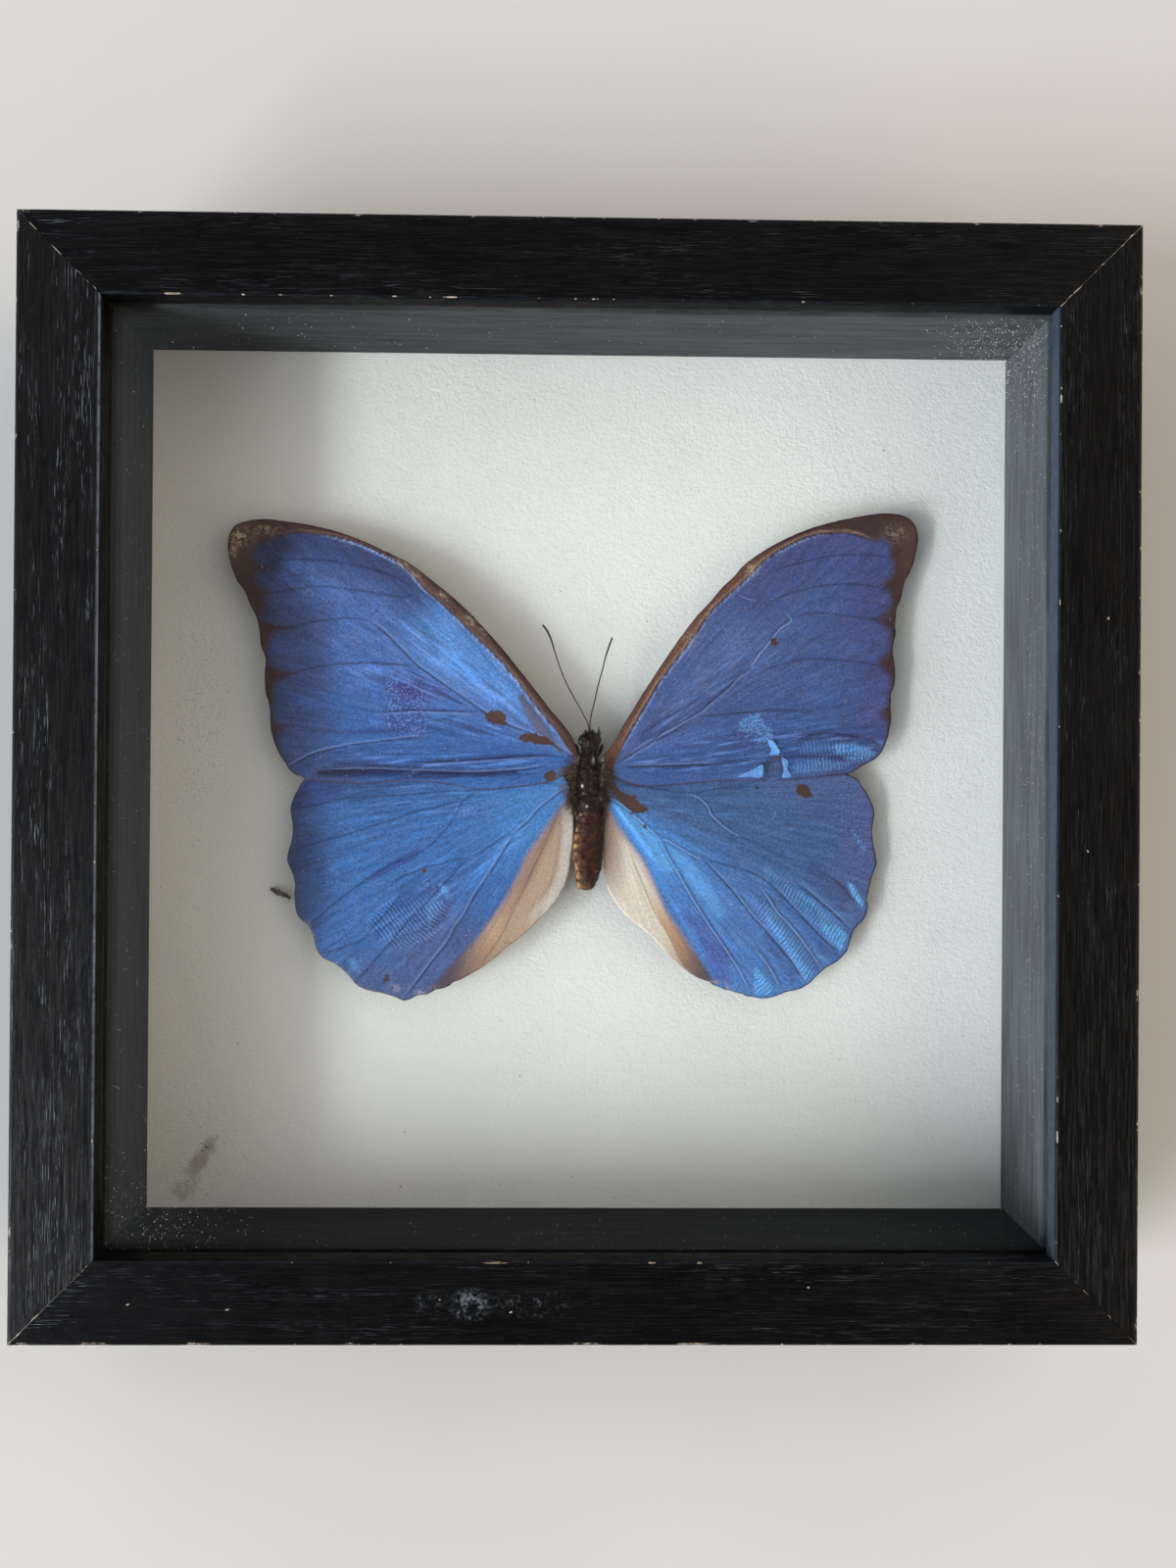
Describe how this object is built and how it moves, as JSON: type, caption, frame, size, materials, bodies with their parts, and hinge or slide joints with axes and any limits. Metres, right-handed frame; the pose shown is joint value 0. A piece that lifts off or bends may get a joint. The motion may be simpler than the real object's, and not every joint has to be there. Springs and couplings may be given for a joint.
{
  "type": "framed butterfly specimen",
  "caption": "Square black wood shadow box frame with a glass front, holding a set blue Morpho butterfly on a textured off-white board.",
  "frame": {"origin": "middle of the rear of the frame, on the plane that the rear faces of the rails lie in", "axes": "+Z out through the glass, away from the back; +Y towards the top rail, where the butterfly's head points; +X to the right seen from the front"},
  "size_m": [0.2, 0.2, 0.036],
  "materials": {
    "frame_wood": "open-pored wood painted black, semi-matt, chipped to bare tan wood along its edges",
    "glass": "clear picture glass, slightly dusty",
    "spacer": "matt black painted strip",
    "board": "off-white board with a fine pebbled texture",
    "panel": "brown hardboard, bare",
    "tab_steel": "bare thin steel",
    "hanger_brass": "brass plated, slightly dull",
    "insect_body": "dry brown-black insect skin under fine hair",
    "wing_blue": "structural blue wing scales with dark brown borders, silky metallic sheen",
    "cork": "raw cork",
    "debris": "dry brown flake of insect remains"
  },
  "bodies": {
    "root": {"frame_rail_top": "frame_wood", "frame_rail_bottom": "frame_wood", "frame_rail_left": "frame_wood", "frame_rail_right": "frame_wood", "glass_pane": "glass", "spacer_top": "spacer", "spacer_bottom": "spacer", "spacer_left": "spacer", "spacer_right": "spacer", "backing_board": "board", "back_panel": "panel", "tab_top_a": "tab_steel", "tab_top_b": "tab_steel", "tab_bottom_a": "tab_steel", "tab_bottom_b": "tab_steel", "tab_left_a": "tab_steel", "tab_left_b": "tab_steel", "tab_right_a": "tab_steel", "tab_right_b": "tab_steel", "hanger_plate": "hanger_brass", "hanger_rivet_left": "hanger_brass", "hanger_rivet_right": "hanger_brass", "body": "insect_body", "forewing_left": "wing_blue", "forewing_right": "wing_blue", "hindwing_left": "wing_blue", "hindwing_right": "wing_blue", "antenna_left": "insect_body", "antenna_right": "insect_body", "mount_pad": "cork", "loose_fragment": "debris"}
  },
  "joints": []
}
